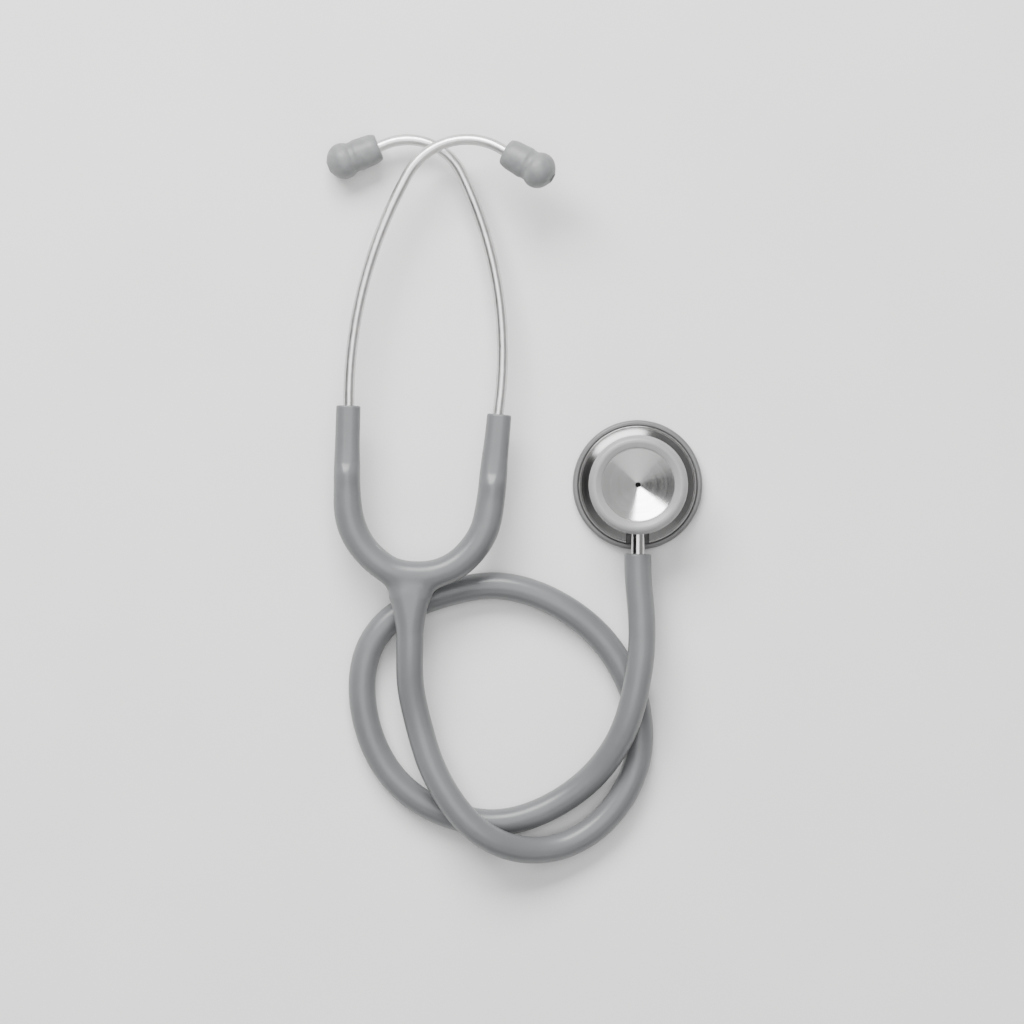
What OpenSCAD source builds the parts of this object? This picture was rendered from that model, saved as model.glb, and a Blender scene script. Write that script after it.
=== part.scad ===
// Dual-head acoustic stethoscope, lying on a flat surface at z = 0.
// Origin: centre of the diaphragm-side rim face. +Z up, the stem points along -Y.
// Left and right are the two arms of the yoke, which are also the wearer's left and right ear.

/* [Chestpiece] */
// Outer diameter of the diaphragm rim
rim_od = 48; // [44:0.5:50]
// Height of the rim around the diaphragm
rim_h = 4.4; // [3.8:0.1:5]
// Outer diameter of the bell ring
bell_ring_od = 36.5; // [34:0.5:38]
// Diameter of the open bell, inside its ring
bell_mouth_d = 27; // [24:0.5:28]
// Whole height of the head, rim face to bell ring face
head_h = 24.5; // [23:0.5:26]
// Diameter of the steel stem
stem_d = 5; // [4.6:0.1:5.4]
// Diameter of the sound holes in the head
sound_hole_d = 2; // [1.6:0.1:2.4]

/* [Tubing] */
// Outside diameter of the acoustic tube
tube_od = 10; // [9:0.5:10]
// Distance from the head's axis to the end of the tube on the stem
tube_end_y = 26; // [25.5:0.5:28]
// Height of the yoke's centre above the surface
yoke_z = 16; // [16:0.5:18]
// Outside diameter of the yoke's legs
yoke_leg_d = 10.4; // [10:0.2:10.6]
// Outside diameter of the yoke's arms
arm_d = 9.2; // [8.6:0.2:9.6]

/* [Headset] */
// Outside diameter of an ear tube
ear_tube_d = 4; // [3.6:0.1:4.4]
// Inside diameter of an ear tube
ear_tube_bore_d = 2.9; // [2.4:0.1:3]
// Largest diameter of an eartip's bulb
bulb_d = 13.6; // [12:0.2:13.8]
// Diameter of an eartip's collar
collar_d = 11.2; // [10.4:0.2:11.6]
// Length of an eartip
eartip_l = 20.2; // [19:0.2:21]

/* [Hidden] */
$fn = 96;

running_gap = 0.05;      // radial clearance of a turning or sliding fit

// Head, all as radius and height
rim_r = rim_od / 2;
flange_r = rim_r - 2;
stem_z = head_h / 2;     // the head flips about the stem, so the stem is at half height
ring_r = bell_ring_od / 2;
bell_rim_r = ring_r - 1;
mouth_r = bell_mouth_d / 2;
ring_h = 4.6;
neck_r = 11.5;
lip_h = 0.7;             // the rim's lip that the diaphragm rests on
lip_r = flange_r - 1.8;
seat_z = 1.5;            // the head's face behind the diaphragm's edge
stem_r = stem_d / 2;
stem_bore_r = stem_r + running_gap;
stem_inner_y = 4.5;      // how far the stem reaches past the head's axis
hole_r = sound_hole_d / 2;

// The click mechanism, on the head's +X side
detent_y = 3.2;
groove_r = 1.95;
ball_r = 0.8;
detent_bore_r = ball_r + 0.1;
screw_r = 1.3;
screw_in_x = 6.3;
screw_out_x = 10.6;

seal_y = -6.5;
seal_groove_r = 1.85;
seal_wire_r = 0.32;

tube_r = tube_od / 2;

// Headset. Each ear tube is a straight run, a long bend, a short run, a tight bend and a straight end.
ball_joint_r = 6;
ball_joint_gap = 0.3;
arm_r = arm_d / 2;
left_pivot = [-105, -16.5, yoke_z];
right_pivot = [-57, -16.5, yoke_z];
ear_r = ear_tube_d / 2;
ear_bore_r = ear_tube_bore_d / 2;
ear_start = 18;          // where the ear tube ends inside its arm
clamp_l = 8;
clamp_r = ear_r + 0.8;
tip_plug_l = 12;         // how much ear tube is inside an eartip
tip_gap_l = 2.6;         // bare tube between the tight bend and the eartip
insert_r = ear_r + 1.2;
insert_l = 7.9;

// heading, tilt, straight, bend radius, bend angle, straight, bend radius, bend angle, roll, arm length
LEFT = [-1.9, 0, 41.3, 173, 30, 2, 25, 92, 10, 45.5];
RIGHT = [-7.3, -3, 46.4, 152, 32.3, 2, 22.1, 86.7, -3, 42.5];
HEADING = 0;
TILT = 1;
STRAIGHT = 2;
LONG_BEND_R = 3;
LONG_BEND = 4;
SHORT_RUN = 5;
TIGHT_BEND_R = 6;
TIGHT_BEND = 7;
ROLL = 8;
ARM_L = 9;

// The yoke's U, from the left pivot to the right one
U_ROUTE = [
    left_pivot, [-99, -24.5, yoke_z], [-91.5, -31, yoke_z], [-82.5, -33.5, yoke_z],
    [-74, -32.5, yoke_z], [-64, -27, yoke_z], right_pivot
];
trunk_end = [-84, -54, yoke_z];

// The acoustic tube, from the yoke's trunk to the stem
TUBE_ROUTE = [
    trunk_end, [-84, -62, yoke_z], [-84.1, -72, 14.5], [-81.2, -87, 12], [-76.4, -103, 13],
    [-70, -115, 15.5], [-62, -125, 16], [-50.5, -132.5, 13.5], [-38, -135, 9],
    [-25, -132.5, 5.5], [-13, -124.5, 5], [-4.3, -113, 5], [0.2, -101, 5], [0.9, -89, 5],
    [-1.3, -77.5, 5], [-6, -67, 5], [-14.3, -55.5, 5], [-26, -46, 5], [-39.5, -39.5, 5],
    [-53, -37, 5], [-67, -39, 5], [-81, -43.5, 5], [-92.5, -50.5, 5], [-99.5, -60.5, 5],
    [-102, -74, 5], [-100, -89, 5], [-93.5, -104, 5], [-82.5, -115.5, 5], [-68, -122.5, 5],
    [-52.5, -125, 5], [-37.5, -121.5, 5], [-24, -114, 6], [-12.5, -103, 9.5],
    [-4.5, -89, 14], [-0.5, -74, 16], [1.5, -59, 15.5], [1, -44, 13.2],
    [0, -33, stem_z], [0, -tube_end_y, stem_z]
];

// ---- Shared geometry -------------------------------------------------------------------------

function unit(v) = v / norm(v);

// A smooth curve through four points, at t from 0 to 1 between b and c
function curve_point(a, b, c, d, t) =
    0.5 * (2 * b + (c - a) * t + (2 * a - 5 * b + 4 * c - d) * t ^ 2 + (3 * b - a - 3 * c + d) * t ^ 3);

// The same points with steps - 1 new ones between each pair
function smooth_route(p, steps) =
    let (n = len(p), q = concat([2 * p[0] - p[1]], p, [2 * p[n - 1] - p[n - 2]]))
    concat(
        [for (i = [0 : n - 2], k = [0 : steps - 1])
            curve_point(q[i], q[i + 1], q[i + 2], q[i + 3], k / steps)],
        [p[n - 1]]
    );

function heading_at(p, i) =
    i == 0 ? unit(p[1] - p[0])
    : i == len(p) - 1 ? unit(p[i] - p[i - 1])
    : unit(unit(p[i + 1] - p[i]) + unit(p[i] - p[i - 1]));

// One ring of a swept tube, square to the route
function tube_ring(p, i, r, sides) =
    let (along = heading_at(p, i), side = unit(cross(along, [0, 0, 1])), up = cross(side, along))
    [for (k = [0 : sides - 1]) p[i] + r * (side * cos(360 * k / sides) + up * sin(360 * k / sides))];

module swept_tube(p, r, sides) {
    n = len(p);
    polyhedron(
        points = [for (i = [0 : n - 1]) each tube_ring(p, i, r, sides)],
        faces = concat(
            [[for (k = [0 : sides - 1]) k]],
            [for (i = [0 : n - 2], k = [0 : sides - 1])
                let (k2 = (k + 1) % sides)
                [i * sides + k, (i + 1) * sides + k, (i + 1) * sides + k2, i * sides + k2]],
            [[for (k = [sides - 1 : -1 : 0]) (n - 1) * sides + k]]
        )
    );
}

// A swept tube with a hole along it
module swept_pipe(p, r, bore, sides) {
    n = len(p);
    inner = n * sides;   // the first point of the inner wall
    function wall(first, i, k) = first + i * sides + k % sides;
    polyhedron(
        points = concat(
            [for (i = [0 : n - 1]) each tube_ring(p, i, r, sides)],
            [for (i = [0 : n - 1]) each tube_ring(p, i, bore, sides)]
        ),
        faces = concat(
            [for (i = [0 : n - 2], k = [0 : sides - 1])
                [wall(0, i, k), wall(0, i + 1, k), wall(0, i + 1, k + 1), wall(0, i, k + 1)]],
            [for (i = [0 : n - 2], k = [0 : sides - 1])
                [wall(inner, i, k + 1), wall(inner, i + 1, k + 1), wall(inner, i + 1, k), wall(inner, i, k)]],
            [for (k = [0 : sides - 1])
                [wall(0, 0, k), wall(0, 0, k + 1), wall(inner, 0, k + 1), wall(inner, 0, k)]],
            [for (k = [0 : sides - 1])
                [wall(0, n - 1, k + 1), wall(0, n - 1, k), wall(inner, n - 1, k), wall(inner, n - 1, k + 1)]]
        )
    );
}

// A round bar along a route, as a chain of hulls
module round_chain(p, r, sides) {
    for (i = [0 : len(p) - 2])
        hull() {
            translate(p[i]) sphere(r, $fn = sides);
            translate(p[i + 1]) sphere(r, $fn = sides);
        }
}

// A flat band beside a route, d from it, as an outline
module band_outline(p, d, thickness) {
    side = [for (i = [0 : len(p) - 1]) let (h = heading_at(p, i)) [-h[1], h[0]]];
    flat = [for (q = p) [q[0], q[1]]];
    polygon(concat(
        [for (i = [0 : len(p) - 1]) flat[i] + side[i] * (d + thickness / 2)],
        [for (i = [len(p) - 1 : -1 : 0]) flat[i] + side[i] * (d - thickness / 2)]
    ));
}

module along_y(h, r) rotate([-90, 0, 0]) cylinder(h = h, r = r);

module ring_along_y(h, r, bore) {
    difference() {
        along_y(h, r);
        translate([0, -1, 0]) along_y(h + 2, bore);
    }
}

// ---- Headset frames and bends ----------------------------------------------------------------

// Local frames: the tube runs along +Y and bends towards +X
module left_frame() {
    translate(left_pivot) rotate([LEFT[TILT], 0, 0]) rotate([0, 0, -LEFT[HEADING]]) children();
}

module right_frame() {
    translate(right_pivot) rotate([RIGHT[TILT], 0, 0]) mirror([1, 0, 0]) rotate([0, 0, -RIGHT[HEADING]])
        children();
}

module after_bend(radius, angle) {
    translate([radius * (1 - cos(angle)), radius * sin(angle), 0]) rotate([0, 0, -angle]) children();
}

// Where the tight bend ends
module at_tip(run) {
    translate([0, run[STRAIGHT], 0]) after_bend(run[LONG_BEND_R], run[LONG_BEND])
        translate([0, run[SHORT_RUN], 0]) rotate([0, -run[ROLL], 0])
            after_bend(run[TIGHT_BEND_R], run[TIGHT_BEND]) children();
}

function turned(v, angle) =
    [v[0] * cos(angle) + v[1] * sin(angle), v[1] * cos(angle) - v[0] * sin(angle), v[2]];
function bend_point(radius, angle) = [radius * (1 - cos(angle)), radius * sin(angle), 0];
function rolled(v, roll) = [v[0] * cos(roll), v[1], v[0] * sin(roll)];

// The centreline of an ear tube, with a point every few degrees of each bend
function ear_route(run) =
    let (
        long_steps = 12,
        tight_steps = 16,
        end_of_straight = [0, run[STRAIGHT], 0],
        long_end = end_of_straight + bend_point(run[LONG_BEND_R], run[LONG_BEND]),
        tight_start = long_end + turned([0, run[SHORT_RUN], 0], run[LONG_BEND]),
        tip_offset = [sin(run[TIGHT_BEND]), cos(run[TIGHT_BEND]), 0],
        tip_heading = turned(rolled(tip_offset, run[ROLL]), run[LONG_BEND]),
        tight = [for (i = [0 : tight_steps])
            bend_point(run[TIGHT_BEND_R], run[TIGHT_BEND] * i / tight_steps)],
        tight_bend = [for (v = tight) tight_start + turned(rolled(v, run[ROLL]), run[LONG_BEND])]
    )
    concat(
        [[0, ear_start, 0]],
        [for (i = [0 : long_steps])
            end_of_straight + bend_point(run[LONG_BEND_R], run[LONG_BEND] * i / long_steps)],
        tight_bend,
        [for (l = [tip_gap_l, tip_gap_l + tip_plug_l]) tight_bend[tight_steps] + l * tip_heading]
    );

module ear_tube(run) swept_pipe(ear_route(run), ear_r, ear_bore_r, 20);

// One arm of the yoke, with the ball that it bends on
module arm(run) {
    difference() {
        union() {
            along_y(run[ARM_L], arm_r);
            sphere(ball_joint_r);
        }
        translate([0, -ball_joint_r - 1, 0]) along_y(ear_start + ball_joint_r + 1.01, ear_bore_r);
        translate([0, ear_start, 0]) along_y(run[ARM_L], ear_r);
        translate([0, ear_start, 0]) along_y(clamp_l, clamp_r);
    }
}

module spring_clamp() translate([0, ear_start, 0]) ring_along_y(clamp_l, clamp_r, ear_r);

// A soft eartip, from the collar's open end to the tip of the bulb along +Y
module eartip() {
    bulb_r = bulb_d / 2;
    collar_r = collar_d / 2;
    waist_y = eartip_l - 10.2;
    bulb_half_l = 6;
    bore_end = tip_plug_l + 0.3;
    rotate([-90, 0, 0])
        rotate_extrude()
            polygon(concat(
                [[insert_r, 0], [collar_r - 0.8, 0], [collar_r, 1]],
                [[collar_r + 0.2, waist_y - 1], [collar_r + 0.1, waist_y]],
                [for (a = [-30 : 10 : 70]) [bulb_r * cos(a), eartip_l - bulb_half_l * (1 - sin(a))]],
                [[2, eartip_l], [1.5, eartip_l - 1], [1.5, bore_end], [ear_r + running_gap, bore_end]],
                [[ear_r + running_gap, insert_l + 0.1], [insert_r, insert_l + 0.1]]
            ));
}

module eartip_insert() ring_along_y(insert_l, insert_r, ear_r + running_gap);

module eartip_place(run) at_tip(run) translate([0, tip_gap_l, 0]) children();

// ---- Chestpiece ------------------------------------------------------------------------------

module chestpiece_body() {
    bell_floor_z = stem_z + stem_r + 1.6;
    bell_rim_z = head_h - 1.5;
    slot_w = 8.5;
    slot_low = [-slot_w / 2, -flange_r - 0.8, 3.3];
    slot_l = 8.4;
    slot_h = 5.9;
    color("silver")
        difference() {
            rotate_extrude()
                polygon([
                    [0, seat_z + 3], [lip_r - 1, seat_z + 0.6], [lip_r - 1, seat_z], [flange_r, seat_z],
                    [flange_r, rim_h + 0.5], [flange_r - 0.6, rim_h + 1], [neck_r + 1, stem_z - 3.3],
                    [neck_r, stem_z - 2.9], [neck_r, stem_z + 2.9], [neck_r + 0.5, stem_z + 3.3],
                    [bell_rim_r, head_h - ring_h], [bell_rim_r, bell_rim_z], [mouth_r, bell_rim_z],
                    [mouth_r - 0.15, bell_rim_z - 0.7], [hole_r + 0.5, bell_floor_z + 0.5], [0, bell_floor_z]
                ]);
            // stem bore, open towards -Y
            translate([0, -rim_r, stem_z]) along_y(rim_r + stem_inner_y + 0.3, stem_bore_r);
            // sound holes to the bell and to the diaphragm
            translate([0, 0, seat_z]) cylinder(h = head_h, r = hole_r);
            // detent bore and its wider, threaded mouth
            translate([0, detent_y, stem_z]) rotate([0, 90, 0]) cylinder(h = neck_r + 2, r = detent_bore_r);
            translate([screw_in_x, detent_y, stem_z]) rotate([0, 90, 0])
                cylinder(h = neck_r, r = screw_r + 0.02);
            // slot in the flange under the stem
            translate(slot_low) cube([slot_w, slot_l, slot_h]);
        }
}

module bell_ring() {
    inner_r = bell_rim_r + 0.03;
    color("dimgray")
        rotate_extrude()
            polygon([
                [inner_r, head_h - ring_h], [ring_r - 0.5, head_h - ring_h], [ring_r, head_h - ring_h + 0.5],
                [ring_r, head_h - 0.8], [ring_r - 0.8, head_h], [mouth_r + 0.5, head_h],
                [mouth_r, head_h - 0.5], [mouth_r, head_h - 1.45], [inner_r, head_h - 1.45]
            ]);
}

module diaphragm_rim() {
    inner_r = flange_r + running_gap;
    color("gray")
        rotate_extrude()
            polygon([
                [lip_r, 0], [rim_r - 0.8, 0], [rim_r, 0.8], [rim_r, rim_h - 0.7],
                [rim_r - 0.7, rim_h], [inner_r, rim_h], [inner_r, lip_h], [lip_r, lip_h]
            ]);
}

module diaphragm() {
    color("lightgray") translate([0, 0, lip_h + 0.02]) cylinder(h = 0.4, r = flange_r - 0.2);
}

module chestpiece_stem() {
    collar_y = -neck_r - 1.6;
    stem_outer_y = -tube_end_y - 11;   // the stem's end, inside the tube
    groove_w = 2 * ball_r + 0.4;
    stem_tube_r = 1.3;
    color("silver")
        translate([0, 0, stem_z])
            difference() {
                union() {
                    difference() {
                        translate([0, stem_outer_y, 0]) along_y(stem_inner_y - stem_outer_y, stem_r);
                        translate([0, detent_y - groove_w / 2, 0])
                            ring_along_y(groove_w, stem_r + 1, groove_r);
                        translate([0, seal_y - 0.45, 0]) ring_along_y(0.9, stem_r + 1, seal_groove_r);
                    }
                    translate([0, collar_y - 1.5, 0]) along_y(1.5, stem_r + 1);
                    // barbs inside the tube
                    for (y = [0, 3.5, 7])
                        translate([0, stem_outer_y + y + 0.5, 0])
                            rotate([-90, 0, 0]) cylinder(h = 2.6, r1 = stem_r - 0.2, r2 = stem_r + 0.5);
                }
                translate([0, stem_outer_y - 1, 0]) along_y(hole_r + 1 - stem_outer_y, stem_tube_r);
                cylinder(h = stem_r + 1, r = hole_r);
            }
}

module stem_seal() {
    color("black")
        translate([0, seal_y, stem_z])
            rotate([90, 0, 0])
                rotate_extrude()
                    translate([seal_groove_r + seal_wire_r + 0.02, 0]) circle(seal_wire_r, $fn = 24);
}

module detent_ball() {
    color("silver")
        translate([groove_r + running_gap + ball_r, detent_y, stem_z]) sphere(ball_r, $fn = 48);
}

module detent_spring() {
    turns = 4;
    wire_r = 0.13;
    from_x = groove_r + 2 * ball_r + 0.25;
    rise = screw_in_x - wire_r - 0.05 - from_x;
    coil_r = detent_bore_r - wire_r - 0.08;
    steps = 12 * turns;
    // wound along X; each ring is square to the coil's axis plane
    function coil(i) = [from_x + rise * i / steps, coil_r * cos(30 * i), coil_r * sin(30 * i)];
    function ring(i) = [for (k = [0 : 5]) coil(i)
        + wire_r * (cos(60 * k) * [1, 0, 0] + sin(60 * k) * [0, cos(30 * i), sin(30 * i)])];
    color("silver")
        translate([0, detent_y, stem_z])
            polyhedron(
                points = [for (i = [0 : steps]) each ring(i)],
                faces = concat(
                    [[for (k = [5 : -1 : 0]) k]],
                    [for (i = [0 : steps - 1], k = [0 : 5])
                        [i * 6 + k, i * 6 + (k + 1) % 6, (i + 1) * 6 + (k + 1) % 6, (i + 1) * 6 + k]],
                    [[for (k = [0 : 5]) steps * 6 + k]]
                )
            );
}

module detent_set_screw() {
    color("gray")
        translate([screw_in_x, detent_y, stem_z])
            rotate([0, 90, 0])
                difference() {
                    cylinder(h = screw_out_x - screw_in_x, r = screw_r);
                    translate([0, 0, screw_out_x - screw_in_x - 1.5]) cylinder(h = 3, r = 0.7, $fn = 6);
                }
}

// ---- Tubing and yoke -------------------------------------------------------------------------

module acoustic_tube() color("darkgray") swept_tube(smooth_route(TUBE_ROUTE, 2), tube_r, 10);

// The spring's band along the inner side of the U, leaving out some points of the route at each end
module spring_band(thickness, height, left_out) {
    whole = smooth_route(U_ROUTE, 2);
    middle = [for (i = [left_out : len(whole) - 1 - left_out]) whole[i]];
    translate([0, 0, yoke_z - height / 2]) linear_extrude(height) band_outline(middle, 3.2, thickness);
}

module yoke() {
    leg_r = yoke_leg_d / 2;
    color("darkgray")
        difference() {
            union() {
                round_chain(smooth_route(U_ROUTE, 2), leg_r, 20);
                hull() {
                    for (p = [[-88.5, -36.5], [-80, -38]])
                        translate([p[0], p[1], yoke_z]) sphere(leg_r, $fn = 20);
                    translate(trunk_end) rotate([-90, 0, 0]) cylinder(h = 0.5, r = tube_r, $fn = 30);
                }
            }
            // sound passages
            round_chain(smooth_route(U_ROUTE, 2), ear_bore_r, 10);
            translate([-84, trunk_end[1] - 1, yoke_z]) along_y(22, 2.5);
            // sockets for the arms' balls
            translate(left_pivot) sphere(ball_joint_r + ball_joint_gap);
            translate(right_pivot) sphere(ball_joint_r + ball_joint_gap);
            spring_band(0.8, 6.1, 0);
        }
}

module leaf_spring() color("silver") spring_band(0.7, 6, 2);

// ---- Headset ---------------------------------------------------------------------------------

module left_arm() color("darkgray") left_frame() arm(LEFT);
module left_spring_clamp() color("silver") left_frame() spring_clamp();
module left_ear_tube() color("silver") left_frame() ear_tube(LEFT);
module left_eartip() color("gray") left_frame() eartip_place(LEFT) eartip();
module left_eartip_insert() color("white") left_frame() eartip_place(LEFT) eartip_insert();
module right_arm() color("darkgray") right_frame() arm(RIGHT);
module right_spring_clamp() color("silver") right_frame() spring_clamp();
module right_ear_tube() color("silver") right_frame() ear_tube(RIGHT);
module right_eartip() color("gray") right_frame() eartip_place(RIGHT) eartip();
module right_eartip_insert() color("white") right_frame() eartip_place(RIGHT) eartip_insert();

chestpiece_body();
bell_ring();
diaphragm_rim();
diaphragm();
detent_ball();
detent_spring();
detent_set_screw();
chestpiece_stem();
stem_seal();
acoustic_tube();
yoke();
leaf_spring();
left_arm();
left_spring_clamp();
left_ear_tube();
left_eartip();
left_eartip_insert();
right_arm();
right_spring_clamp();
right_ear_tube();
right_eartip();
right_eartip_insert();
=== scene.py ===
"""Looks of a dual-head stethoscope that lies on a pale floor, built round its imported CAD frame."""

import math

import bmesh
import bpy
import numpy as np
from mathutils import Matrix, Vector


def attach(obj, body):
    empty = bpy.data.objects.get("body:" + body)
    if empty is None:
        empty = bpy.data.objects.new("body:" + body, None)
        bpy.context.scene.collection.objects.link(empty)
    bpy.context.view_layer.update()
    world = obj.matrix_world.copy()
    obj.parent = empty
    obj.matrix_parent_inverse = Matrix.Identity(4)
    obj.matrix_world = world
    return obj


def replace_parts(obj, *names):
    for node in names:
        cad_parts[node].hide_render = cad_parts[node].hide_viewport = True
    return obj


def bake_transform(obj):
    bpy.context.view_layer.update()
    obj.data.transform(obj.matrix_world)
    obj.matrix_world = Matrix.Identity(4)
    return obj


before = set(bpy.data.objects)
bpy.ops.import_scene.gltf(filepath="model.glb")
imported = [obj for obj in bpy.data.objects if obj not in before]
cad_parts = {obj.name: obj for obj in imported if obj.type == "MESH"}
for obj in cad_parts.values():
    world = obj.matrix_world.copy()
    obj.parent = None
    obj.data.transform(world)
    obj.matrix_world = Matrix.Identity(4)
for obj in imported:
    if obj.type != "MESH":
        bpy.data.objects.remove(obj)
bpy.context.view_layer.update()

MM = 0.001
UP = np.array([0.0, 0.0, 1.0])

# Sizes in millimetres, as in part.scad
TUBE_R = 5.0
TUBE_END_Y = 26.0
YOKE_Z = 16.0
EAR_R, EAR_BORE_R = 2.0, 1.45
EAR_START = 18.0
TIP_GAP, TIP_PLUG = 2.6, 12.0
STEM_Z, STEM_R = 12.25, 2.5
PIVOT_Y, TRUNK_X = -16.5, -84.0
LEFT_PIVOT = np.array([-105.0, PIVOT_Y, YOKE_Z])
RIGHT_PIVOT = np.array([-57.0, PIVOT_Y, YOKE_Z])
# Heading, tilt, straight, long bend's radius and angle, short straight, tight bend's radius and
# angle, roll, arm length
LEFT = (-1.9, 0, 41.3, 173, 30, 2, 25, 92, 10, 45.5)
RIGHT = (-7.3, -3, 46.4, 152, 32.3, 2, 22.1, 86.7, -3, 42.5)
TRUNK_END = (-84, -54, YOKE_Z)
TUBE_ROUTE = [
    TRUNK_END, (-84, -62, 16), (-84.1, -72, 14.5), (-81.2, -87, 12), (-76.4, -103, 13),
    (-70, -115, 15.5), (-62, -125, 16), (-50.5, -132.5, 13.5), (-38, -135, 9),
    (-25, -132.5, 5.5), (-13, -124.5, 5), (-4.3, -113, 5), (0.2, -101, 5), (0.9, -89, 5),
    (-1.3, -77.5, 5), (-6, -67, 5), (-14.3, -55.5, 5), (-26, -46, 5), (-39.5, -39.5, 5),
    (-53, -37, 5), (-67, -39, 5), (-81, -43.5, 5), (-92.5, -50.5, 5), (-99.5, -60.5, 5),
    (-102, -74, 5), (-100, -89, 5), (-93.5, -104, 5), (-82.5, -115.5, 5), (-68, -122.5, 5),
    (-52.5, -125, 5), (-37.5, -121.5, 5), (-24, -114, 6), (-12.5, -103, 9.5),
    (-4.5, -89, 14), (-0.5, -74, 16), (1.5, -59, 15.5), (1, -44, 13.2),
    (0, -33, STEM_Z), (0, -TUBE_END_Y, STEM_Z),
]

# ---- Camera: straight above, as the photograph is taken -----------------------------------------

VIEW_CENTRE = (-0.0464, -0.0100)
VIEW_WIDTH = 0.379
CAMERA_HEIGHT = 3.0
SENSOR = 36.0

camera_data = bpy.data.cameras.new("camera")
camera_data.sensor_width = SENSOR
camera_data.lens = SENSOR * CAMERA_HEIGHT / VIEW_WIDTH
camera_data.clip_start, camera_data.clip_end = 0.05, 20
camera = bpy.data.objects.new("camera", camera_data)
camera.location = (*VIEW_CENTRE, CAMERA_HEIGHT)
bpy.context.scene.collection.objects.link(camera)
bpy.context.scene.camera = camera


# ---- Mesh helpers -------------------------------------------------------------------------------


def unit(v):
    """The vector at length 1."""
    return np.asarray(v, float) / np.linalg.norm(v)


def mesh_object(name, points_mm, faces, normals=None):
    """An object from points in millimetres, smooth shaded."""
    mesh = bpy.data.meshes.new(name)
    mesh.from_pydata([tuple(p) for p in np.asarray(points_mm, float) * MM], [], faces)
    mesh.validate()
    mesh.shade_smooth()
    if normals is not None:
        mesh.normals_split_custom_set_from_vertices([tuple(n) for n in normals])
    mesh.update()
    obj = bpy.data.objects.new(name, mesh)
    bpy.context.scene.collection.objects.link(obj)
    return obj


def with_modifiers(obj):
    """Puts what the modifiers make into the object's mesh."""
    graph = bpy.context.evaluated_depsgraph_get()
    mesh = bpy.data.meshes.new_from_object(obj.evaluated_get(graph))
    obj.modifiers.clear()
    obj.data = mesh
    return obj


def weighted_normals(obj, sharp_deg=50):
    """Flats stay flat and the small rounds between them carry the turn."""
    obj.data.set_sharp_from_angle(angle=math.radians(sharp_deg))
    m = obj.modifiers.new("normals", "WEIGHTED_NORMAL")
    m.keep_sharp = True
    return with_modifiers(obj)


def spline(points, spacing):
    """Points every `spacing` on one curve of continuous curvature through the given points."""
    p = np.array(points, float)
    n = len(p)
    t = np.concatenate([[0], np.cumsum(np.linalg.norm(np.diff(p, axis=0), axis=1))])
    h = np.diff(t)
    a, b = np.eye(n), np.zeros(p.shape)
    for i in range(1, n - 1):
        a[i, i - 1 : i + 2] = h[i - 1], 2 * (h[i - 1] + h[i]), h[i]
        b[i] = 6 * ((p[i + 1] - p[i]) / h[i] - (p[i] - p[i - 1]) / h[i - 1])
    m = np.linalg.solve(a, b)
    u = np.linspace(0, t[-1], int(t[-1] / spacing) + 1)
    k = np.clip(np.searchsorted(t, u, side="right") - 1, 0, n - 2)
    x, w = (u - t[k])[:, None], h[k][:, None]
    y = w - x
    return (
        (m[k] * y**3 + m[k + 1] * x**3) / (6 * w)
        + (p[k] / w - m[k] * w / 6) * y
        + (p[k + 1] / w - m[k + 1] * w / 6) * x
    )


def evened(path, passes):
    """The path with its small wobbles averaged away, its ends kept."""
    p = path.copy()
    for _ in range(passes):
        p[2:-2] = (p[1:-3] + 2 * p[2:-2] + p[3:-1]) / 4
    return p


def path_frames(path):
    """A direction and two directions square to it at each point, with no twist between points."""
    along = np.gradient(path, axis=0)
    along /= np.linalg.norm(along, axis=1)[:, None]
    side = unit(np.cross(along[0], UP) if abs(along[0][2]) < 0.9 else [1, 0, 0])
    sides = []
    for t in along:
        side = unit(side - t * (side @ t))
        sides.append(side)
    sides = np.array(sides)
    return along, sides, np.cross(sides, along)


def swept(name, path, radii, count, start=(), end=()):
    """A round tube on a path. start and end are extra rings past its ends: (outwards, radius)."""
    along, side, up = path_frames(path)
    rings = [(path[0] - along[0] * d, side[0], up[0], r) for d, r in start]
    rings += [(path[i], side[i], up[i], radii[i]) for i in range(len(path))]
    rings += [(path[-1] + along[-1] * d, side[-1], up[-1], r) for d, r in end]
    turn = 2 * math.pi * np.arange(count) / count
    points = np.concatenate(
        [c + r * (np.outer(np.cos(turn), s) + np.outer(np.sin(turn), u)) for c, s, u, r in rings]
    )
    faces = [
        (a + k, b + k, b + (k + 1) % count, a + (k + 1) % count)
        for a, b in ((i * count, (i + 1) * count) for i in range(len(rings) - 1))
        for k in range(count)
    ]
    last = (len(rings) - 1) * count
    faces += [tuple(range(count)), tuple(last + k for k in reversed(range(count)))]
    obj = mesh_object(name, points, faces)
    outward(obj)
    return obj


def outward(obj):
    """Turns every face outwards."""
    bm = bmesh.new()
    bm.from_mesh(obj.data)
    bmesh.ops.recalc_face_normals(bm, faces=bm.faces)
    bm.to_mesh(obj.data)
    bm.free()


def rounded(points, radius, steps=4):
    """A profile with its inner corners rounded."""
    p = np.array(points, float)
    out = [p[0]]
    for a, b, c in zip(p, p[1:], p[2:]):
        back, on = a - b, c - b
        reach = min(radius, 0.45 * np.linalg.norm(back), 0.45 * np.linalg.norm(on))
        first, last = b + unit(back) * reach, b + unit(on) * reach
        for t in np.linspace(0, 1, steps):
            out.append((1 - t) ** 2 * first + 2 * t * (1 - t) * b + t**2 * last)
    return np.array(out + [p[-1]])


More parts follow.
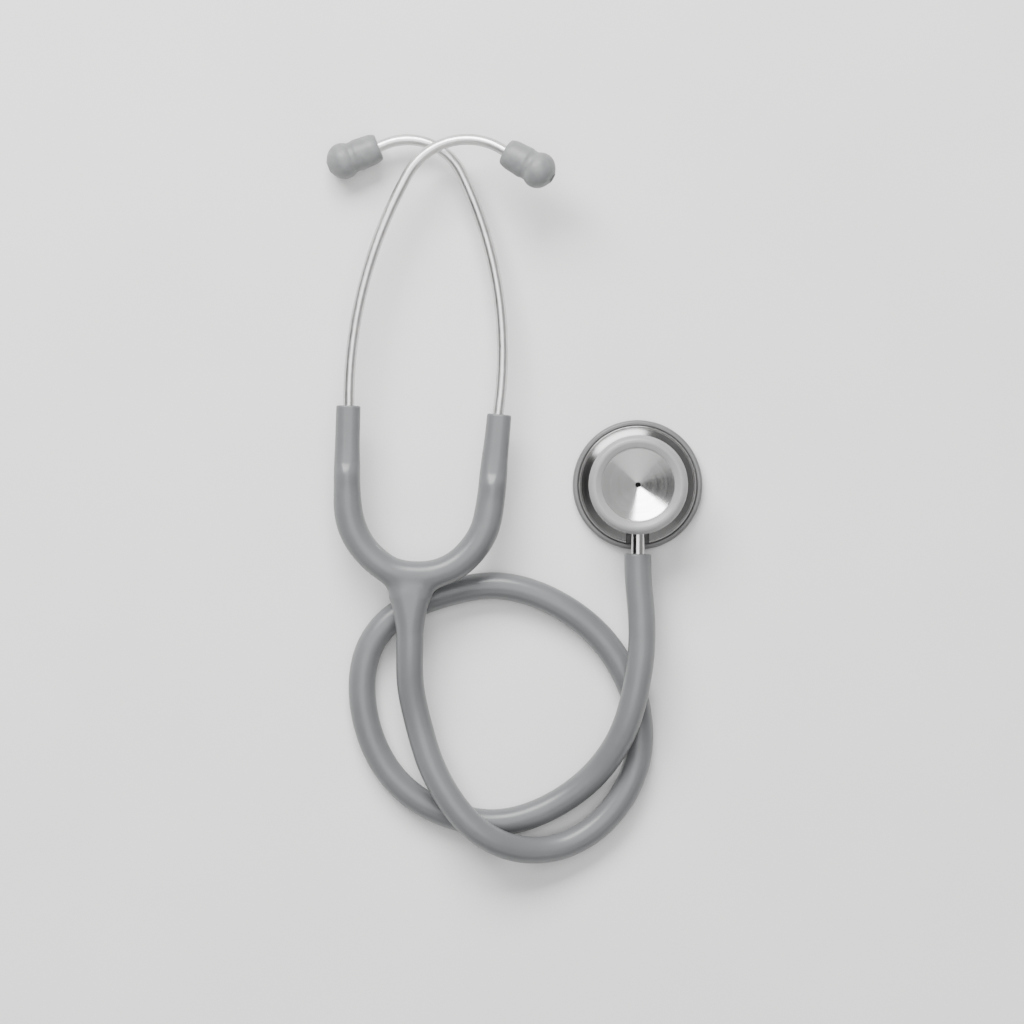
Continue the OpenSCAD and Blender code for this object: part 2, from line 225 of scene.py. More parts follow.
def turned(name, profile, count, matrix=None, closed=False):
    """A body of revolution from (radius, height) pairs, about Z or about the matrix's Z."""
    turn = 2 * math.pi * np.arange(count) / count
    points = np.array([(r * math.cos(a), r * math.sin(a), z) for r, z in profile for a in turn])
    n = len(profile)
    faces = [
        (a + k, a + (k + 1) % count, b + (k + 1) % count, b + k)
        for a, b in ((i * count, (i + 1) % n * count) for i in range(n if closed else n - 1))
        for k in range(count)
    ]
    if matrix is not None:
        points = points @ np.array(matrix)[:3, :3].T + np.array(matrix)[:3, 3]
    obj = mesh_object(name, points, faces)
    bm = bmesh.new()
    bm.from_mesh(obj.data)
    bmesh.ops.remove_doubles(bm, verts=bm.verts, dist=1e-6)
    bmesh.ops.recalc_face_normals(bm, faces=bm.faces)
    bm.to_mesh(obj.data)
    bm.free()
    return obj


def cut(obj, *cutters):
    """Takes the cutters away from the object and removes them."""
    for cutter in cutters:
        m = obj.modifiers.new("cut", "BOOLEAN")
        m.object, m.operation, m.solver = cutter, "DIFFERENCE", "EXACT"
    with_modifiers(obj)
    for cutter in cutters:
        bpy.data.objects.remove(cutter)
    return obj


def bar(name, at, axis, length, radius, count=48):
    """A plain round bar, to cut with."""
    path = np.array([at, np.array(at, float) + unit(axis) * length])
    return swept(name, path, [radius, radius], count)


def block(name, low, high):
    """A plain box, to cut with."""
    xs, ys, zs = zip(low, high)
    corners = [(x, y, z) for x in xs for y in ys for z in zs]
    faces = [(0, 1, 3, 2), (4, 6, 7, 5), (0, 4, 5, 1), (2, 3, 7, 6), (0, 2, 6, 4), (1, 5, 7, 3)]
    return mesh_object(name, corners, faces)


# ---- The acoustic tube, a free cord between the yoke and the stem --------------------------------

tube_path = evened(spline(TUBE_ROUTE, 1.2), 24)
hose = swept(
    "acoustic_tube_skin",
    tube_path,
    np.full(len(tube_path), TUBE_R),
    40,
    end=[(0.25, 4.93), (0.42, 4.75), (0.5, 4.45), (0.5, 2.62), (0.3, 2.5), (-3, 2.48)],
)
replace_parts(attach(hose, "root"), "acoustic_tube")

# ---- The yoke's skin: one smooth moulding over the U, its trunk and the two arms -----------------

# The line down the left arm, round the U and up the right arm, with the skin's radius
ARMS_ROUTE = [
    (-106.6, 29.2, 4.5), (-106.9, 19, 4.55), (-107.1, 8, 4.7), (-107.1, -2, 5.0),
    (-106.6, -10, 5.3), (-104.6, -17.2, 5.35), (-100.9, -23.4, 5.2), (-96.4, -28, 5.2),
    (-90.2, -31.9, 5.2), (-83, -33.3, 5.2), (-75, -32.7, 5.2), (-67.3, -29.6, 5.3),
    (-60.8, -23.6, 5.35), (-56.5, -16.3, 5.35), (-54.8, -9.3, 5.3), (-53.7, -1, 5.1),
    (-52.9, 8, 4.9), (-51.9, 17, 4.65), (-51.1, 26, 4.5),
]
TRUNK_ROUTE = [
    (-84, -41.8, 7.3), (-84, -43.5, 6.9), (-84, -45.5, 6.4), (-84, -48.5, 5.85), (-84, -51.5, 5.35),
    (-84, -54, 5.07), (-84, -58.5, 4.93),
]
# The trunk's thickness, as y and half height
TRUNK_EDGE = ((-58.5, 4.93), (-54, 5.07), (-48, 5.3), (-40, 5.4))
CROTCH_FILLET = 10.0
ARM_END_ROUND, ARM_END_REACH = 0.7, 12.0
# Over each end of the leaf spring the arm swells and rises a little, and past it gets thinner
SPRING_ENDS = [(-107.2, 6.5), (-53.2, 2.5)]
SWELL, SWELL_L = 0.35, 5.0
SPRING_STEP, SPRING_STEP_L = 0.85, 5.0
SPRING_LIFT, SPRING_LIFT_L, SPRING_LIFT_BACK = 0.6, 4.0, 3.3
NET_LOW, NET_HIGH, NET_STEP = (-114, -60, 9), (-46, 31, 22), 0.55

arms_line = spline(ARMS_ROUTE, 1.5)
trunk_line = spline(TRUNK_ROUTE, 1.5)
right_slope = math.tan(math.radians(-RIGHT[1]))
arm_ends = [
    (arms_line[0][:2], unit(arms_line[0][:2] - arms_line[4][:2])),
    (arms_line[-1][:2], unit(arms_line[-1][:2] - arms_line[-5][:2])),
]


def nearest_on(line, xy):
    """The distance to a line of (x, y, radius), and the radius there."""
    a, b = line[:-1], line[1:]
    step = b[:, :2] - a[:, :2]
    rel = xy[:, None, :] - a[None, :, :2]
    t = np.clip((rel * step).sum(2) / (step**2).sum(1), 0, 1)
    gap = np.linalg.norm(rel - t[..., None] * step, axis=2)
    k = gap.argmin(1)
    rows = np.arange(len(xy))
    return gap[rows, k], (a[:, 2] + t * (b[:, 2] - a[:, 2]))[rows, k]


def eased(t):
    """0 to 1 with soft ends."""
    t = np.clip(t, 0, 1)
    return t * t * (3 - 2 * t)


def yoke_plan(xy):
    """The outline's distance, the radius of its edge and the height of its middle at each place."""
    arm_gap, arm_r = nearest_on(arms_line, xy)
    trunk_gap, trunk_r = nearest_on(trunk_line, xy)
    arm_edge, lift = arm_r, 0
    for end in SPRING_ENDS:
        swell = SWELL * np.exp(-((xy - end) ** 2).sum(1) / SWELL_L**2)
        arm_r, arm_edge = arm_r + swell, arm_edge + swell
        on_arm = (xy[:, 0] < TRUNK_X) == (end[0] < TRUNK_X)
        thinner = eased((xy[:, 1] - end[1]) / SPRING_STEP_L + 0.6)
        arm_edge = arm_edge - SPRING_STEP * on_arm * thinner
        hump = np.array(end) - (0, SPRING_LIFT_BACK)
        lift = lift + SPRING_LIFT * np.exp(-((xy - hump) ** 2).sum(1) / SPRING_LIFT_L**2)
    a, b = arm_gap - arm_r, trunk_gap - trunk_r
    close = np.clip(1 - np.abs(a - b) / CROTCH_FILLET, 0, 1)
    flat = np.minimum(a, b) - close**3 * CROTCH_FILLET / 6
    trunk_edge = np.interp(xy[:, 1], *np.array(TRUNK_EDGE).T)
    r = trunk_edge + (arm_edge - trunk_edge) * eased(0.5 + 0.5 * (b - a) / CROTCH_FILLET)
    drop = np.where(xy[:, 0] > TRUNK_X, right_slope * np.clip(xy[:, 1] - PIVOT_Y, 0, None), 0)
    return flat, r, YOKE_Z - drop + lift


def yoke_field(p, plan=None):
    """Below zero inside the yoke's skin."""
    xy = p[:, :2]
    flat, r, middle = yoke_plan(xy) if plan is None else plan
    field = np.hypot(np.clip(flat + r, 0, None), p[:, 2] - middle) - r
    for at, out in arm_ends:
        past = (xy - at) @ out
        close = np.clip(0.5 + 0.5 * (field - past) / ARM_END_ROUND, 0, 1)
        soft = past + (field - past) * close + ARM_END_ROUND * close * (1 - close)
        field = np.where(np.linalg.norm(xy - at, axis=1) < ARM_END_REACH, soft, field)
    return field


def slope(p, reach=0.02):
    """The yoke field's gradient at each point."""
    plan = yoke_plan(p[:, :2])
    up = yoke_field(p + UP * reach, plan) - yoke_field(p - UP * reach, plan)
    x, y = (yoke_field(p + e) - yoke_field(p - e) for e in np.eye(3)[:2] * reach)
    return np.stack([x, y, up], 1) / (2 * reach)


def surface_net(low, high, step):
    """Points and quads of the surface where the yoke field is zero."""
    axes = [np.arange(a, b + step, step) for a, b in zip(low, high)]
    flat = np.stack(np.meshgrid(*axes[:2], indexing="ij"), -1)
    plan = yoke_plan(flat.reshape(-1, 2))
    at_heights = []
    for z in axes[2]:
        p = np.concatenate([flat.reshape(-1, 2), np.full((flat.shape[0] * flat.shape[1], 1), z)], 1)
        at_heights.append(yoke_field(p, plan).reshape(flat.shape[:2]))
    value = np.stack(at_heights, -1)
    inside = value < 0
    nx, ny, nz = inside.shape
    count = sum(
        inside[i : nx - 1 + i, j : ny - 1 + j, k : nz - 1 + k].astype(int)
        for i in (0, 1) for j in (0, 1) for k in (0, 1)
    )
    active = (count > 0) & (count < 8)
    number = np.full(active.shape, -1)
    number[active] = np.arange(active.sum())
    points = np.array(low) + (np.argwhere(active) + 0.5) * step
    quads = []
    for axis in range(3):
        one = np.eye(3, dtype=int)[axis]
        u, v = np.eye(3, dtype=int)[(axis + 1) % 3], np.eye(3, dtype=int)[(axis + 2) % 3]
        here = inside[tuple(slice(0, s - o) for s, o in zip(inside.shape, one))]
        there = inside[tuple(slice(o, s) for s, o in zip(inside.shape, one))]
        edges = np.argwhere(here != there)
        edges = edges[(edges >= 1).all(1) | ((edges >= 1) | (one > 0)).all(1)]
        around = [number[tuple((edges - d).T)] for d in (u * 0, u, u + v, v)]
        leaving = here[tuple(edges.T)]
        for i, quad in enumerate(np.stack(around, 1)):
            if (quad >= 0).all():
                quads.append(tuple(quad if leaving[i] else quad[::-1]))
    return points, quads


def settled(points, quads, rounds=4):
    """The net's points spread evenly and brought onto the surface."""
    pairs = np.array([(q[i], q[(i + 1) % 4]) for q in quads for i in range(4)])
    degree = np.bincount(pairs.ravel(), minlength=len(points))[:, None]
    for _ in range(rounds):
        total = np.zeros(points.shape)
        np.add.at(total, pairs[:, 0], points[pairs[:, 1]])
        np.add.at(total, pairs[:, 1], points[pairs[:, 0]])
        points = points + 0.6 * (total / degree - points)
        g = slope(points)
        points = points - (yoke_field(points) / np.maximum((g**2).sum(1), 0.2))[:, None] * g
    return points


net_points, net_quads = surface_net(NET_LOW, NET_HIGH, NET_STEP)
net_points = settled(net_points, net_quads)
net_normals = slope(net_points)
net_normals /= np.linalg.norm(net_normals, axis=1)[:, None]

FOLD = 11.5  # how far back from its pivot each arm's own piece of the skin begins
left_way, right_way = unit([-0.27, 0.96, 0]), unit([0.34, 0.94, 0])
quads = np.array(net_quads)
centres = net_points[quads].mean(1)
on_left = ((centres - LEFT_PIVOT) @ left_way > -FOLD) & (centres[:, 0] < TRUNK_X)
on_right = ((centres - RIGHT_PIVOT) @ right_way > -FOLD) & (centres[:, 0] > TRUNK_X)


def part_of_net(name, chosen):
    """The chosen quads as one piece, with the whole surface's normals, so that no seam shows."""
    used, renumbered = np.unique(quads[chosen], return_inverse=True)
    faces = [tuple(int(i) for i in f) for f in renumbered.reshape(-1, 4)]
    obj = mesh_object(name, net_points[used], faces, net_normals[used])
    return obj


yoke_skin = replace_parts(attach(part_of_net("yoke_skin", ~on_left & ~on_right), "root"), "yoke")
arm_skins = []
for side, chosen, pivot, way in (
    ("left", on_left, LEFT_PIVOT, left_way),
    ("right", on_right, RIGHT_PIVOT, right_way),
):
    skin = part_of_net(side + "_arm_skin", chosen)
    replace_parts(skin, side + "_arm")
    arm_skins.append(skin)
    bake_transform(skin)

# ---- Ear tubes and eartips ----------------------------------------------------------------------


def turned_about_z(v, angle):
    """A vector turned clockwise, seen from above."""
    c, s = math.cos(math.radians(angle)), math.sin(math.radians(angle))
    return np.array([v[0] * c + v[1] * s, v[1] * c - v[0] * s, v[2]])


def rolled(v, roll):
    """A vector of the XY plane, turned up about Y."""
    a = math.radians(roll)
    return np.array([v[0] * math.cos(a), v[1], v[0] * math.sin(a)])


def bend_point(radius, angle):
    """Where a bend that starts at the origin along +Y gets to."""
    a = math.radians(angle)
    return np.array([radius * (1 - math.cos(a)), radius * math.sin(a), 0.0])


def ear_line(run):
    """The centreline of an ear tube in its own frame, the tip's place and its heading."""
    _, _, straight, long_r, long_a, short, tight_r, tight_a, roll, _ = run
    points = [(0, y, 0) for y in np.linspace(EAR_START, straight, 14, endpoint=False)]
    bend_start = np.array([0, straight, 0])
    points += [bend_start + bend_point(long_r, a) for a in np.linspace(0, long_a, 50)]
    base = bend_start + bend_point(long_r, long_a) + turned_about_z([0, short, 0], long_a)
    for a in np.linspace(0, tight_a, 48):
        points.append(base + turned_about_z(rolled(bend_point(tight_r, a), roll), long_a))
    tip = np.array(points[-1])
    a = math.radians(tight_a)
    heading = turned_about_z(rolled([math.sin(a), math.cos(a), 0], roll), long_a)
    points += [tip + heading * d for d in np.linspace(0.8, TIP_GAP + TIP_PLUG, 14)]
    return np.array(points), tip, heading


def headset_frame(pivot, run, mirrored):
    """The matrix from an arm's own frame to the object's."""
    m = Matrix.Translation(pivot) @ Matrix.Rotation(math.radians(run[1]), 4, "X")
    if mirrored:
        m = m @ Matrix.Diagonal((-1, 1, 1, 1))
    return np.array(m @ Matrix.Rotation(math.radians(-run[0]), 4, "Z"))


BULB_R, COLLAR_R, TIP_L, INSERT_R = 6.8, 5.5, 20.2, 3.2
BULB_MIDDLE, BULB_HALF = 14.2, 6.0
eartip_profile = rounded(
    [(INSERT_R, 8), (INSERT_R, 0), (COLLAR_R - 0.7, 0), (COLLAR_R + 0.1, 2.2)]
    + [(COLLAR_R + 0.5, 8.6), (COLLAR_R + 0.2, 9.6)]
    + [
        (BULB_R * math.cos(math.radians(a)), BULB_MIDDLE + BULB_HALF * math.sin(math.radians(a)))
        for a in range(-33, 72, 7)
    ]
    + [(2.2, TIP_L - 0.15), (1.9, TIP_L), (1.5, TIP_L - 0.8), (1.45, 12.3)],
    0.9,
    5,
)
ear_tubes, eartips = [], []
for side, pivot, run, mirrored in (
    ("left", LEFT_PIVOT, LEFT, False),
    ("right", RIGHT_PIVOT, RIGHT, True),
):
    m = headset_frame(pivot, run, mirrored)
    line, tip, heading = ear_line(run)
    line = line @ m[:3, :3].T + m[:3, 3]
    tip, heading = m[:3, :3] @ tip + m[:3, 3], unit(m[:3, :3] @ heading)
    pipe = swept(
        side + "_ear_tube_bent",
        line,
        np.full(len(line), EAR_R),
        32,
        end=[(0, EAR_R - 0.15), (0, EAR_BORE_R + 0.1), (-0.2, EAR_BORE_R), (-6, EAR_BORE_R)],
    )
    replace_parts(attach(pipe, side + "_headset"), side + "_ear_tube")
    ear_tubes.append(weighted_normals(pipe))
    place = Vector(heading).to_track_quat("Z", "Y").to_matrix().to_4x4()
    place.translation = tip + heading * TIP_GAP
    soft_tip = turned(side + "_eartip_soft", eartip_profile, 64, place)
    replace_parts(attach(soft_tip, side + "_eartip"), side + "_eartip")
    eartips.append(soft_tip)

# ---- Chestpiece ---------------------------------------------------------------------------------

RIM_R, FLANGE_R, NECK_R = 24.0, 22.0, 11.5
BELL_WALL_R, RING_BORE_R, MOUTH_R = 17.25, 17.28, 13.5
RECESS_R, LIP_R, RIM_BORE_R = 19.2, 20.2, 22.05
BELL_FLOOR_Z, HEAD_H = 16.35, 24.5
STEM_HOLE_R, STEM_BORE_R, HOLE_R, SCREW_HOLE_R = 2.55, 1.3, 1.0, 1.32
SLOT_LOW, SLOT_HIGH = (-4.25, -22.8, 3.3), (4.25, -14.4, 9.2)
body_profile = rounded(
    [
        (0.0, 4.5), (RECESS_R, 2.1), (RECESS_R, 1.5), (FLANGE_R, 1.5), (FLANGE_R, 5.0),
        (21.75, 5.55), (21.3, 5.6), (20.9, 5.35), (20.5, 5.65), (12.8, 8.85), (NECK_R, 9.6),
        (NECK_R, 15.0), (12.2, 15.6), (BELL_WALL_R, 19.9), (BELL_WALL_R, 23.0), (MOUTH_R, 23.0),
        (MOUTH_R - 0.15, 22.3), (1.5, BELL_FLOOR_Z + 0.5), (1.1, BELL_FLOOR_Z + 0.1),
        (0.0, BELL_FLOOR_Z),
    ],
    0.3,
)
head = turned("chestpiece_turned", body_profile, 256)
cut(
    head,
    bar("stem_bore", (0, -30, STEM_Z), (0, 1, 0), 34.8, STEM_HOLE_R),
    bar("sound_hole", (0, 0, 1), (0, 0, 1), 20, HOLE_R),
    bar("detent_mouth", (6.3, 3.2, STEM_Z), (1, 0, 0), 20, SCREW_HOLE_R),
    block("stem_slot", SLOT_LOW, SLOT_HIGH),
)
weighted_normals(head, 40)
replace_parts(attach(head, "head"), "chestpiece_body")

chill_profile = rounded(
    [
        (RING_BORE_R, 20.5), (RING_BORE_R, 19.9), (17.8, 19.9), (18.25, 20.4), (18.25, 22.7),
        (17.3, 24.05), (16.35, HEAD_H), (15.6, HEAD_H), (14.0, 23.75), (MOUTH_R, 23.35),
        (MOUTH_R, 23.05), (RING_BORE_R, 23.05), (RING_BORE_R, 20.5),
    ],
    0.5,
)
chill_ring = weighted_normals(turned("bell_ring_soft", chill_profile[:-1], 192, closed=True), 60)
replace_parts(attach(chill_ring, "head"), "bell_ring")

rim_profile = rounded(
    [
        (LIP_R, 0.4), (LIP_R, 0), (23.2, 0), (RIM_R, 0.8), (RIM_R, 3.6), (23.4, 4.4), (22.35, 4.4),
        (RIM_BORE_R, 4.15), (RIM_BORE_R, 0.7), (LIP_R, 0.7), (LIP_R, 0.4),
    ],
    0.4,
)
rim = weighted_normals(turned("diaphragm_rim_soft", rim_profile[:-1], 192, closed=True), 60)
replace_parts(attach(rim, "diaphragm_rim"), "diaphragm_rim")

along_y = Matrix.Rotation(math.radians(90), 4, "X")
along_y.translation = (0, 0, STEM_Z)
stem_profile = rounded(
    [
        (STEM_BORE_R, -1), (STEM_BORE_R, -4.4), (2.3, -4.5), (STEM_R, -4.3), (STEM_R, -2.6),
        (1.95, -2.5), (1.95, -1.5), (STEM_R, -1.4), (STEM_R, 6.0), (1.85, 6.05), (1.85, 6.95),
        (STEM_R, 7.0), (STEM_R, 13.1), (3.25, 13.1), (3.5, 13.35), (3.5, 14.35), (3.25, 14.6),
        (STEM_R, 14.6), (STEM_R, 26.5), (2.3, 29.4), (3.0, 32), (2.5, 32.1), (2.3, 33),
        (3.0, 35.4), (2.3, 36.9), (STEM_BORE_R, 37), (STEM_BORE_R, -1),
    ],
    0.12,
)
stem = turned("stem_turned", stem_profile[:-1], 96, along_y, closed=True)
cut(stem, bar("stem_port", (0, 0, STEM_Z), (0, 0, 1), 5, HOLE_R))
weighted_normals(stem, 40)
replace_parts(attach(stem, "root"), "chestpiece_stem")

# ---- Materials ----------------------------------------------------------------------------------


class Maker:
    """Builds one node material."""

    def __init__(self, name):
        self.material = bpy.data.materials.new(name)
        self.material.use_nodes = True
        self.tree = self.material.node_tree
        self.shader = self.tree.nodes["Principled BSDF"]
        self.place = self.node("ShaderNodeTexCoord").outputs["Object"]

    def node(self, kind, inputs=(), **settings):
        """A node, with each input linked or set."""
        made = self.tree.nodes.new(kind)
        for key, value in settings.items():
            setattr(made, key, value)
        for key, value in dict(inputs).items():
            if isinstance(value, bpy.types.NodeSocket):
                self.tree.links.new(value, made.inputs[key])
            else:
                made.inputs[key].default_value = value
        return made

    def noise(self, scale, detail=3.0, vector=None, rough=0.5):
        """Noise over the object's own coordinates, which are in metres."""
        made = self.node(
            "ShaderNodeTexNoise",
            {"Vector": vector or self.place, "Scale": scale, "Detail": detail, "Roughness": rough},
        )
        return made.outputs[0]

    def spread(self, value, low, high):
        """A value from 0.25 to 0.75, as noise gives, brought to low to high."""
        made = self.node(
            "ShaderNodeMapRange",
            {"Value": value, "From Min": 0.25, "From Max": 0.75, "To Min": low, "To Max": high},
            interpolation_type="SMOOTHSTEP",
        )
        return made.outputs[0]

    def mix(self, share, one, other):
        """Two colours mixed, each a constant or another node's."""
        made = self.node("ShaderNodeMix", data_type="RGBA")
        for key, value in ((0, share), (6, one), (7, other)):
            if isinstance(value, bpy.types.NodeSocket):
                self.tree.links.new(value, made.inputs[key])
            else:
                made.inputs[key].default_value = value
        return made.outputs[2]

    def bump(self, height, strength, distance, under=None):
        """A bumped normal, on top of the one under it."""
        inputs = {"Height": height, "Strength": strength, "Distance": distance}
        if under is not None:
            inputs["Normal"] = under
        return self.node("ShaderNodeBump", inputs).outputs[0]

    def radius(self, axis):
        """The distance from an axis through the origin, at the stem's height for Y."""
        keep = {"Z": (1, 1, 0), "Y": (1, 0, 1)}[axis]
        centre = {"Z": (0, 0, 0), "Y": (0, 0, STEM_Z * MM)}[axis]
        sums = "ShaderNodeVectorMath"
        moved = self.node(sums, {0: self.place, 1: centre}, operation="SUBTRACT")
        flat = self.node(sums, {0: moved.outputs[0], 1: keep}, operation="MULTIPLY")
        return self.node(sums, {0: flat.outputs[0]}, operation="LENGTH").outputs["Value"]

    def finish(self, colour=None, rough=None, normal=None, **constants):
        """Links what was made to the shader and sets its constants."""
        for key, value in (("Base Color", colour), ("Roughness", rough), ("Normal", normal)):
            if value is not None:
                self.tree.links.new(value, self.shader.inputs[key])
        for key, value in constants.items():
            self.shader.inputs[key.replace("_", " ")].default_value = value
        return self.material


def grey(level, warm=0.0):
    """A grey, warmer or, below zero, cooler."""
    return (level * (1 + warm), level, level * (1 - warm), 1)


def soft_plastic(name, dark, light, rough, cloud_mm=14, grain_mm=0.5, bump=0.12, **constants):
    """Vinyl, rubber or silicone: cloudy colour, fine skin grain, uneven sheen."""
    m = Maker(name)
    cloud = m.noise(1000 / cloud_mm, 4)
    speck = m.noise(1000 / (cloud_mm / 9), 3)
    colour = m.mix(m.spread(cloud, 0, 1), dark, light)
    colour = m.mix(m.spread(speck, 0, 0.15), colour, tuple(0.9 * c for c in dark[:3]) + (1,))
    sheen = m.spread(m.noise(1000 / (cloud_mm / 3), 2), rough - 0.04, rough + 0.05)
    skin = m.bump(m.noise(1000 / grain_mm, 2), bump, 0.00008)
    wave = m.bump(m.noise(1000 / (cloud_mm / 2), 1), 0.05, 0.0001, skin)
    return m.finish(colour, sheen, wave, **constants)


# Painted shade: the flange below the neck gets a much darker steel colour, in place of the dark
# surroundings it mirrors
FLANGE_SHADE_HEIGHTS = (0.009, 0.0088)  # the heights, in metres, between which the flange's painted shade sets in


def lathe_steel(name, dark, light, rough, axis, line_mm, anisotropy, flange_shade=None):
    """Steel with the fine rings of a lathe about one axis. The last argument is painted shade: the
    darker colour below the neck, in place of the dark surroundings the flange mirrors.
    """
    m = Maker(name)
    radius = m.radius(axis)

    def rings(scale, detail):
        inputs = {"W": radius, "Scale": scale, "Detail": detail}
        return m.node("ShaderNodeTexNoise", inputs, noise_dimensions="1D").outputs[0]

    line, broad = rings(1000 / line_mm, 4.0), rings(90 / line_mm, 2.0)
    smear = m.noise(60, 4)
    colour = m.mix(m.spread(line, 0, 1), dark, light)
    colour = m.mix(m.spread(smear, 0, 0.25), colour, dark)
    # Painted shade: below the neck the colour turns to the dark flange colour, in place of the dark
    # surroundings the flange mirrors
    if flange_shade:
        height = m.node("ShaderNodeSeparateXYZ", {0: m.place}).outputs[2]
        heights = {"From Min": FLANGE_SHADE_HEIGHTS[0], "From Max": FLANGE_SHADE_HEIGHTS[1]}
        low = m.node("ShaderNodeMapRange", {"Value": height, **heights})
        flange_shade_colour = m.mix(m.spread(line, 0, 1), flange_shade, tuple(1.2 * c for c in flange_shade))
        colour = m.mix(low.outputs[0], colour, flange_shade_colour)
    sheen = m.spread(broad, rough - 0.02, rough + 0.03)
    normal = m.bump(line, 0.05, 0.00001)
    tangent = m.node("ShaderNodeTangent", direction_type="RADIAL", axis=axis)
    m.tree.links.new(tangent.outputs[0], m.shader.inputs["Tangent"])
    turned_steel = {"Anisotropic": anisotropy, "Anisotropic_Rotation": 0.25}
    return m.finish(colour, sheen, normal, Metallic=1.0, **turned_steel)


def plain_steel(name, dark, light, rough, edge=1.0):
    """Drawn or polished steel with faint handling marks. edge is its tone at a grazing view."""
    m = Maker(name)
    colour = m.mix(m.spread(m.noise(220, 5), 0, 1), dark, light)
    drawn = {"Vector": m.place, "Scale": (3.0, 0.35, 3.0)}
    stretched = m.node("ShaderNodeMapping", drawn).outputs[0]
    sheen = m.spread(m.noise(900, 3, stretched), rough - 0.05, rough + 0.07)
    normal = m.bump(m.noise(1600, 2, stretched), 0.06, 0.00002)
    return m.finish(colour, sheen, normal, Metallic=1.0, Specular_Tint=grey(edge))


vinyl = soft_plastic("tube_vinyl", grey(0.13, -0.03), grey(0.15, -0.025), 0.33, 26, 0.9, 0.025)
chill = soft_plastic("chill_ring_rubber", grey(0.27), grey(0.31), 0.36, 9, 0.35, 0.12)
rim_rubber = soft_plastic("rim_rubber", grey(0.12), grey(0.15), 0.36, 9, 0.35, 0.12)
silicone = soft_plastic(
    "eartip_silicone", grey(0.17, -0.02), grey(0.215, -0.015), 0.45, 3.2, 0.5, 0.2,
    Subsurface_Weight=0.12, Subsurface_Radius=(0.002, 0.002, 0.002), Subsurface_Scale=1.0,
)
film = soft_plastic("diaphragm_film", grey(0.5, 0.02), grey(0.58, 0.02), 0.34, 20, 0.8, 0.15)
black_rubber = soft_plastic("seal_rubber", grey(0.02), grey(0.03), 0.5, 3, 0.3, 0.1)
white_plastic = soft_plastic("insert_plastic", grey(0.62), grey(0.68), 0.4, 5, 0.4, 0.1)
# The last grey is the flange's painted shade
head_steel = lathe_steel(
    "turned_steel", grey(0.66, 0.006), grey(0.76, 0.006), 0.24, "Z", 0.12, 0.85, grey(0.17, 0.01)
)
stem_steel = lathe_steel("stem_steel", grey(0.55, 0.008), grey(0.68, 0.008), 0.2, "Y", 0.2, 0.5)
tube_steel = plain_steel("polished_steel", grey(0.66, 0.01), grey(0.76, 0.01), 0.33, 0.35)
hard_steel = plain_steel("hard_steel", grey(0.6), grey(0.7), 0.12)
spring_steel = plain_steel("spring_steel", grey(0.38, 0.01), grey(0.48, 0.01), 0.3)
dark_steel = plain_steel("dark_steel", grey(0.12), grey(0.18), 0.35)
# Painted shade: a near-black steel for the lower slot, the sound passage and the stem's bore
painted_shade_steel = plain_steel("painted_shade_steel", grey(0.05), grey(0.09), 0.45)


def paint(obj, material):
    """Gives the object this material alone."""
    obj.data.materials.clear()
    obj.data.materials.append(material)


for obj, material in (
    (hose, vinyl), (yoke_skin, vinyl), (arm_skins[0], vinyl), (arm_skins[1], vinyl),
    (ear_tubes[0], tube_steel), (ear_tubes[1], tube_steel),
    (eartips[0], silicone), (eartips[1], silicone),
    (head, head_steel), (chill_ring, chill), (rim, rim_rubber), (stem, stem_steel),
):
    paint(obj, material)

# Painted shade: the lower part of the slot's walls, the inside of the sound passage and the stem's
# bore get a near-black steel where shade falls
SLOT_SHADE_Z, NEAR = 5.2, 0.05
for piece in (head, stem):
    piece.data.materials.append(painted_shade_steel)
for face in head.data.polygons:
    middle = face.center / MM
    in_slot = all(low - 0.01 < c < high + 0.01 for c, low, high in zip(middle, SLOT_LOW, SLOT_HIGH))
    in_hole = math.hypot(middle.x, middle.y) < HOLE_R + NEAR and middle.z > STEM_Z
    if (in_slot and middle.z < SLOT_SHADE_Z) or in_hole:
        face.material_index = 1
for face in stem.data.polygons:
    middle = face.center / MM
    in_bore = math.hypot(middle.x, middle.z - STEM_Z) < STEM_BORE_R + NEAR
    if in_bore or math.hypot(middle.x, middle.y) < HOLE_R + NEAR:
        face.material_index = 1

for node, material in (
    ("diaphragm", film), ("stem_seal", black_rubber), ("detent_ball", hard_steel),
    ("detent_spring", spring_steel), ("detent_set_screw", dark_steel),
    ("leaf_spring", spring_steel),
    ("left_spring_clamp", spring_steel), ("right_spring_clamp", spring_steel),
    ("left_eartip_insert", white_plastic), ("right_eartip_insert", white_plastic),
    ("chestpiece_body", head_steel), ("bell_ring", chill), ("diaphragm_rim", rim_rubber),
    ("chestpiece_stem", stem_steel), ("acoustic_tube", vinyl), ("yoke", vinyl),
    ("left_arm", vinyl), ("right_arm", vinyl),
    ("left_ear_tube", tube_steel), ("right_ear_tube", tube_steel),
    ("left_eartip", silicone), ("right_eartip", silicone),
):
    paint(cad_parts[node], material)

# ---- Floor and light ----------------------------------------------------------------------------

FLOOR_HALF, FLOOR_Z = 4000, -0.2
floor_corners = [(-1, -1), (1, -1), (1, 1), (-1, 1)]
floor = mesh_object(
    "floor", [(x * FLOOR_HALF, y * FLOOR_HALF, FLOOR_Z) for x, y in floor_corners], [(0, 1, 2, 3)]
)
f = Maker("pale_floor")
paint(floor, f.finish(
    f.mix(f.spread(f.noise(14, 4), 0, 1), grey(0.80, 0.004), grey(0.83, 0.004)),
    f.spread(f.noise(40, 3), 0.6, 0.7),
    f.bump(f.noise(1500, 2), 0.05, 0.0001),
))

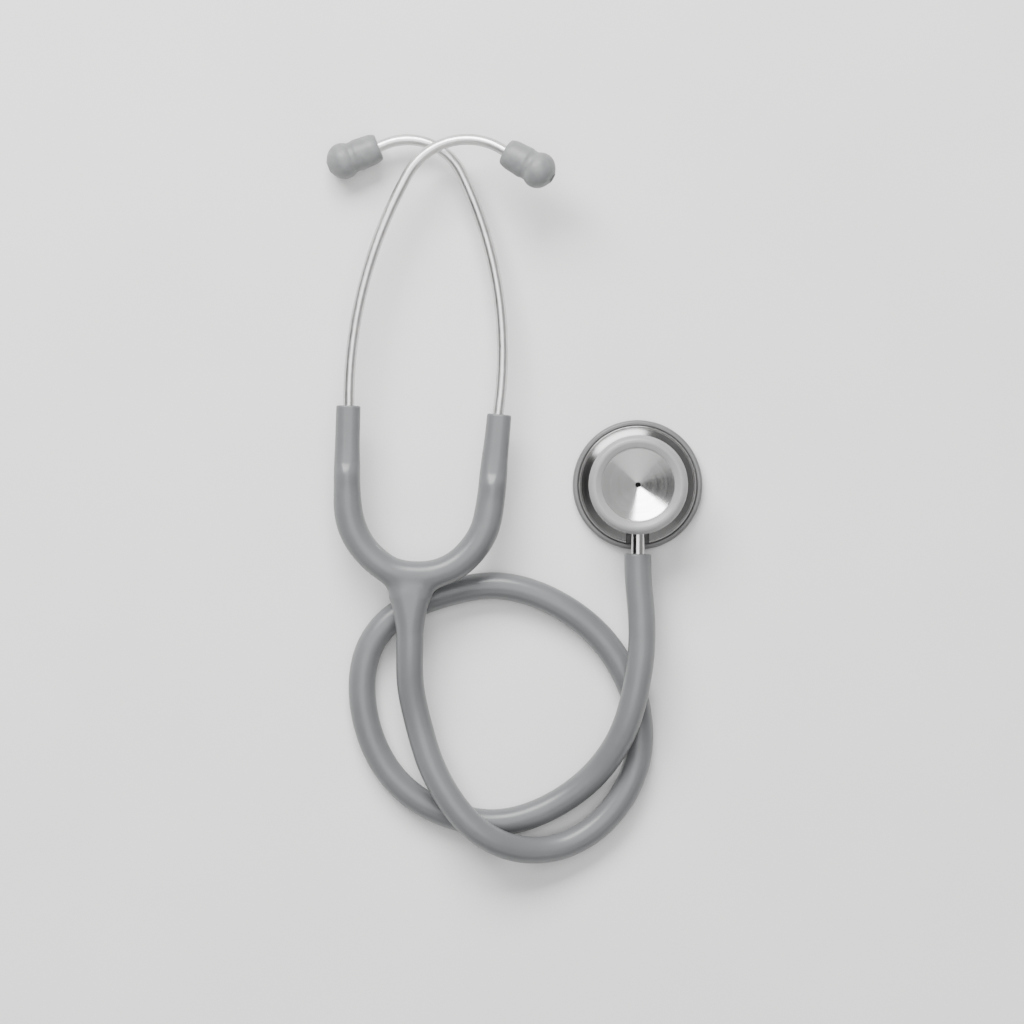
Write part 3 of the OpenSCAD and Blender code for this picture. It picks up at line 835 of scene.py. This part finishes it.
OBJECT_MIDDLE = Vector((-0.05, -0.01, 0.01))
ROOM_LIGHT = 0.4
DARK_CORNER = (290, 38)  # azimuth and elevation
CORNER_EDGE = (0.72, 0.9)  # the cosines at which the dark starts and is full


def way_to(azimuth, elevation):
    """A direction. Azimuth 0 is towards +Y, turning towards +X."""
    a, e = math.radians(azimuth), math.radians(elevation)
    return Vector((math.sin(a) * math.cos(e), math.cos(a) * math.cos(e), math.sin(e)))


# A soft grey room with one dark corner, which the turned steel mirrors
world = bpy.data.worlds.new("soft_grey")
world.use_nodes = True
sky = world.node_tree
outwards = sky.nodes.new("ShaderNodeTexCoord").outputs["Generated"]
near_corner = sky.nodes.new("ShaderNodeVectorMath")
near_corner.operation = "DOT_PRODUCT"
near_corner.inputs[1].default_value = way_to(*DARK_CORNER)
strength = sky.nodes.new("ShaderNodeMapRange")
strength_range = {
    "From Min": CORNER_EDGE[0],
    "From Max": CORNER_EDGE[1],
    "To Min": ROOM_LIGHT,
    "To Max": 0.0,
}
for key, value in strength_range.items():
    strength.inputs[key].default_value = value
sky.links.new(outwards, near_corner.inputs[0])
sky.links.new(near_corner.outputs["Value"], strength.inputs["Value"])
sky.links.new(strength.outputs[0], sky.nodes["Background"].inputs["Strength"])
sky.nodes["Background"].inputs["Color"].default_value = (1, 1, 1, 1)
bpy.context.scene.world = world


def soft_box(name, azimuth, elevation, distance, width, height, power):
    """An area light that looks at the object."""
    way = way_to(azimuth, elevation)
    data = bpy.data.lights.new(name, "AREA")
    data.shape, data.size, data.size_y, data.energy = "RECTANGLE", width, height, power
    lamp = bpy.data.objects.new(name, data)
    lamp.location = OBJECT_MIDDLE + way * distance
    lamp.rotation_mode = "QUATERNION"
    lamp.rotation_quaternion = way.to_track_quat("Z", "Y")
    bpy.context.scene.collection.objects.link(lamp)


soft_box("key", -19, 42, 1.6, 1.3, 0.75, 60)
soft_box("top", 0, 88, 2.2, 1.8, 1.8, 30)
soft_box("fill", 175, 35, 2.0, 3.0, 0.6, 7)
